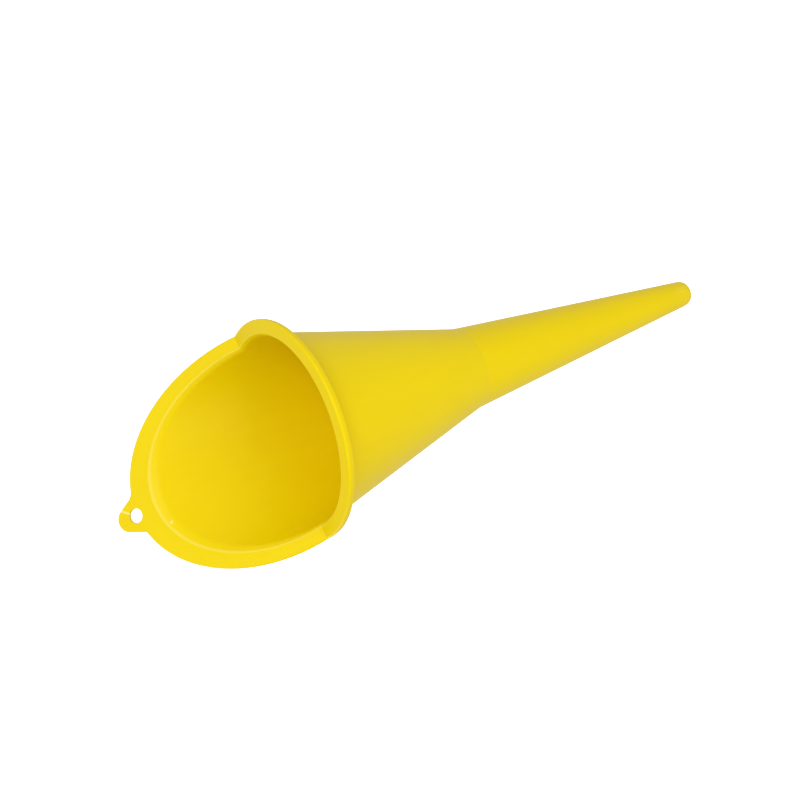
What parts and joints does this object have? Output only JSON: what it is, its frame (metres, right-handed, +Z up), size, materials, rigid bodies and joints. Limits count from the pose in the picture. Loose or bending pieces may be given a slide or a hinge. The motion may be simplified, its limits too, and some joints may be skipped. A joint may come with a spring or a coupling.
{
  "type": "funnel",
  "caption": "Long-neck pouring funnel with a conical bowl, tapered spout, slanted scoop mouth with a flanged lip, and a hanging tab with an eye.",
  "frame": {"origin": "centre of the spout's open end, where the funnel stands in a filler neck", "axes": "+Z up the funnel's axis from the spout's end to the mouth; -Y towards the scoop and the hanging tab; YZ is the plane of symmetry"},
  "size_m": [0.138, 0.169, 0.4154],
  "materials": {
    "yellow_plastic": "satin injection-moulded polyethylene, slightly glossy"
  },
  "bodies": {
    "root": {"spout": "yellow_plastic", "bowl": "yellow_plastic", "rear_lip": "yellow_plastic", "front_lip": "yellow_plastic", "hanging_tab": "yellow_plastic"}
  },
  "joints": []
}
